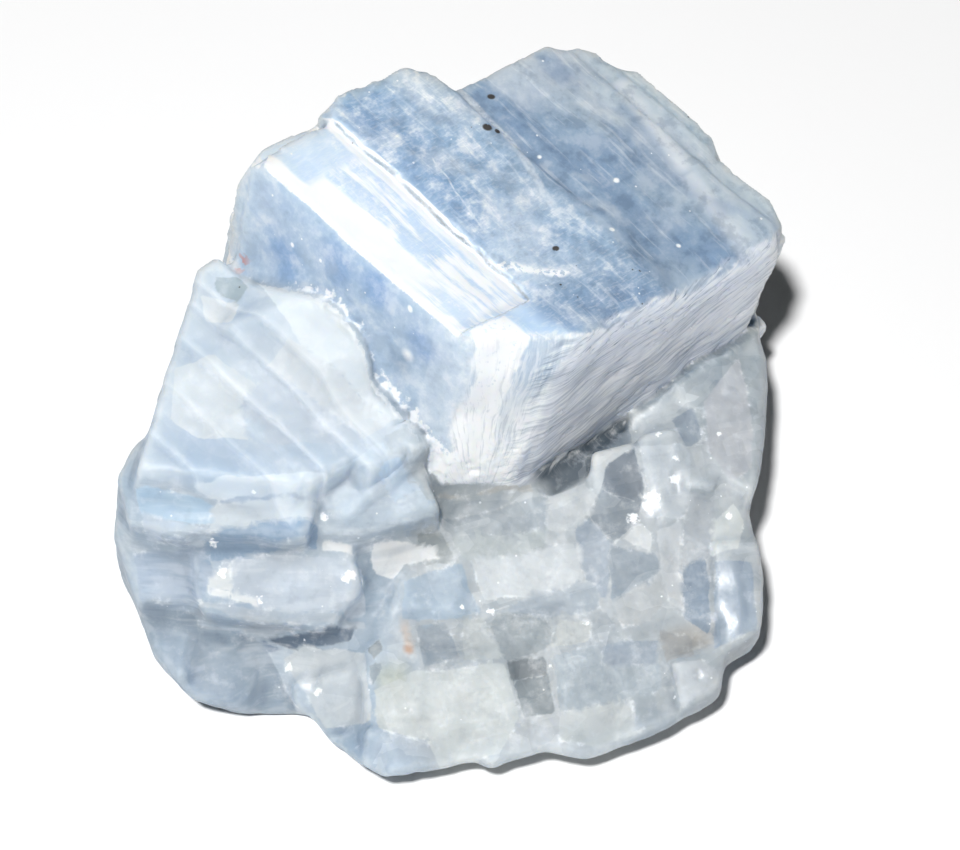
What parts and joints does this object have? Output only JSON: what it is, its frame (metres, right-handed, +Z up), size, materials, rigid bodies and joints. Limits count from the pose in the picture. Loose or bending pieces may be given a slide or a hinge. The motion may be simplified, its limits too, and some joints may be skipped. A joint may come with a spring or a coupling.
{
  "type": "calcite specimen",
  "caption": "Hand-sized natural piece of blue calcite: a cleaved rhomb stands on a skirt of rounded, intergrown grains and stepped plates, and rests on a flat broken base.",
  "frame": {"origin": "centre of the stone's bounding box in plan, at the flat break it rests on", "axes": "+Z up from the resting face, +Y to the back along the stone's longest extent, +X to the right; the low slope of grains faces -Y and the cleaved rhomb stands towards +Y"},
  "size_m": [0.0599, 0.0616, 0.0326],
  "materials": {
    "calcite": "milky, translucent blue calcite: glossy rounded grains, smooth cleavage faces, white broken edges and a few rust-coloured stains"
  },
  "bodies": {
    "root": {"calcite_stone": "calcite"}
  },
  "joints": []
}
